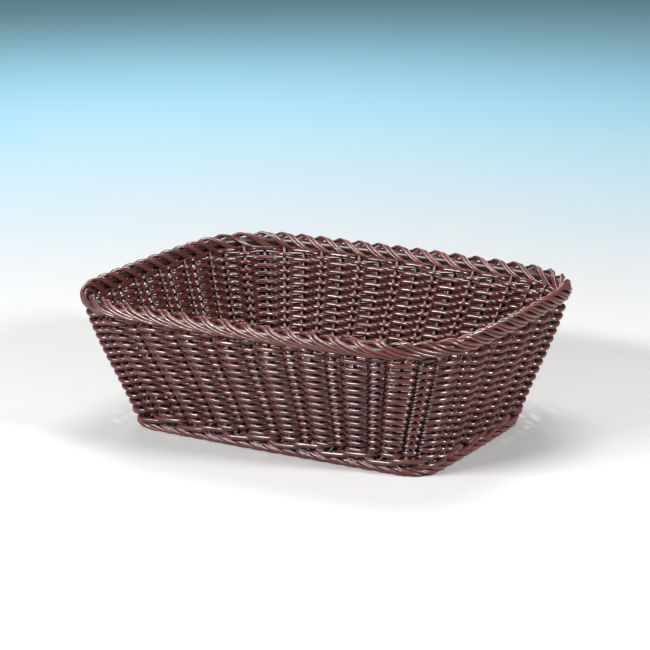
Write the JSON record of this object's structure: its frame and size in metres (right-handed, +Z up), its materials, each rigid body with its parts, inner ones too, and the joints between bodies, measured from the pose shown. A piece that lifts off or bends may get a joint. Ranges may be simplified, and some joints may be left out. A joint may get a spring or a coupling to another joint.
{
  "type": "bread basket",
  "caption": "Open rectangular bread basket with flared, rounded walls, hand-woven from round plastic strands between a rolled rim and a foot border.",
  "frame": {"origin": "on the floor under the middle of the basket", "axes": "+Z up, +X along the basket's length, +Y across its width"},
  "size_m": [0.325, 0.2654, 0.11],
  "materials": {
    "weavers": "gloss, dark red-brown extruded strand",
    "stakes": "gloss, dark red-brown extruded strand",
    "borders": "gloss, dark red-brown extruded strand",
    "base": "gloss, dark red-brown extruded strand"
  },
  "bodies": {
    "root": {"foot_border": "borders", "rim_border": "borders", "base_sticks": "base", "base_strands": "base", "right_end_stakes": "stakes", "back_right_corner_stakes": "stakes", "back_side_stakes": "stakes", "back_left_corner_stakes": "stakes", "left_end_stakes": "stakes", "front_left_corner_stakes": "stakes", "front_side_stakes": "stakes", "front_right_corner_stakes": "stakes", "weaver_row_01": "weavers", "weaver_row_02": "weavers", "weaver_row_03": "weavers", "weaver_row_04": "weavers", "weaver_row_05": "weavers", "weaver_row_06": "weavers", "weaver_row_07": "weavers", "weaver_row_08": "weavers", "weaver_row_09": "weavers", "weaver_row_10": "weavers", "weaver_row_11": "weavers", "weaver_row_12": "weavers", "weaver_row_13": "weavers", "weaver_row_14": "weavers", "weaver_row_15": "weavers", "weaver_row_16": "weavers", "weaver_row_17": "weavers", "weaver_row_18": "weavers", "weaver_row_19": "weavers", "weaver_row_20": "weavers", "weaver_row_21": "weavers", "weaver_row_22": "weavers", "weaver_row_23": "weavers", "weaver_row_24": "weavers", "weaver_row_25": "weavers", "weaver_row_26": "weavers", "weaver_row_27": "weavers", "weaver_row_28": "weavers", "weaver_row_29": "weavers", "weaver_row_30": "weavers"}
  },
  "joints": []
}
